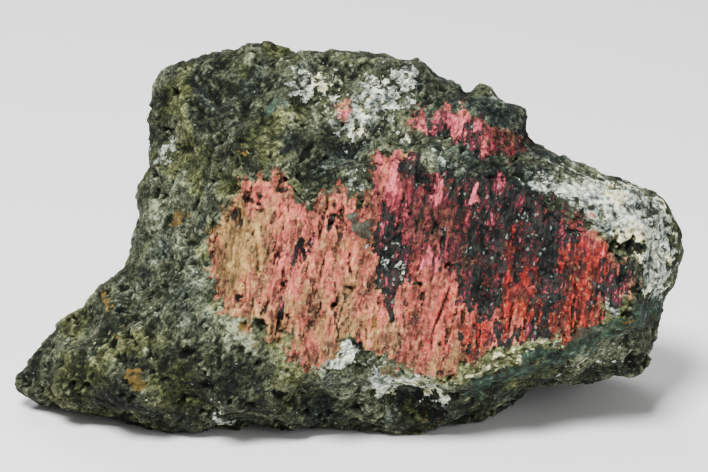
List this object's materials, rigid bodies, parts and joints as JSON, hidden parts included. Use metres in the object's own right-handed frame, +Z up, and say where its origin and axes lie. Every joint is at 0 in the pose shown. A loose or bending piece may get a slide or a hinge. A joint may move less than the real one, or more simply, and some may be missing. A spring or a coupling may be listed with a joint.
{
  "type": "gillespite mineral specimen in matrix",
  "caption": "Irregular hand-size rock fragment with a blunt wedge at one end and a large fibrous red mineral face on its front, for display standing on its flat underside",
  "frame": {"origin": "on the floor, under the middle of the specimen's bounding box", "axes": "+X along the long axis, to the right as seen from the front, from the wedge to the white end; +Y toward the back, away from the red face; +Z up from the flat break that it stands on"},
  "size_m": [0.0554, 0.0286, 0.0292],
  "materials": {
    "dark_rock": "rough broken granular rock, dull, with fine glints",
    "red_gillespite": "fibrous cleaved crystal, salmon to crimson, silky",
    "white_mineral": "granular white mineral, dull with fine glints"
  },
  "bodies": {
    "root": {"matrix": "dark_rock", "gillespite": "red_gillespite", "gillespite_upper": "red_gillespite", "gillespite_grain": "red_gillespite", "white_band": "white_mineral"}
  },
  "joints": []
}
